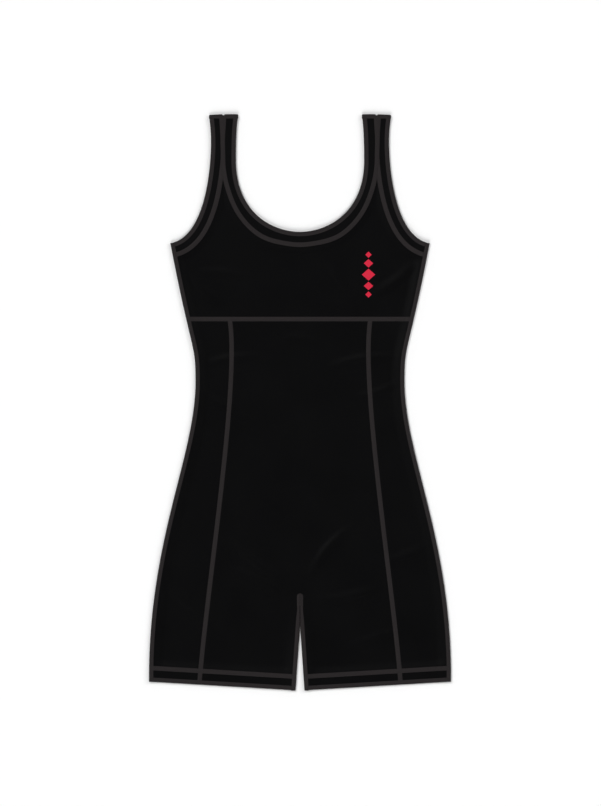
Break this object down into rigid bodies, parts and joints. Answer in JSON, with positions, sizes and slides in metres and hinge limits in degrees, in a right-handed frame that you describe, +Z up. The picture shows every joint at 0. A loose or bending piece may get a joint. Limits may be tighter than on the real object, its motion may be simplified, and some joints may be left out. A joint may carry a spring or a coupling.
{
  "type": "unitard",
  "caption": "Sleeveless scoop-neck unitard with short legs, laid flat on its back, with banded neck and armholes, an under-bust seam, princess seams and turned leg hems.",
  "frame": {"origin": "on the surface that the garment lies on, under the middle of its outline", "axes": "+X towards the wearer's left, +Y up the body to the shoulders, +Z up from the surface out of the front"},
  "size_m": [0.4406, 0.8401, 0.0054],
  "materials": {
    "knit": "black stretch knit with a soft sheen",
    "band": "black stretch knit folded over elastic",
    "thread": "charcoal stretch thread of flat cover stitches",
    "print": "red heat-pressed film, plain and matt"
  },
  "bodies": {
    "root": {"front_bodice": "knit", "front_centre": "knit", "front_side_left": "knit", "front_side_right": "knit", "back": "knit", "neck_band_front": "band", "neck_band_back": "band", "armhole_band_front_left": "band", "armhole_band_front_right": "band", "armhole_band_back_left": "band", "armhole_band_back_right": "band"}
  },
  "joints": []
}
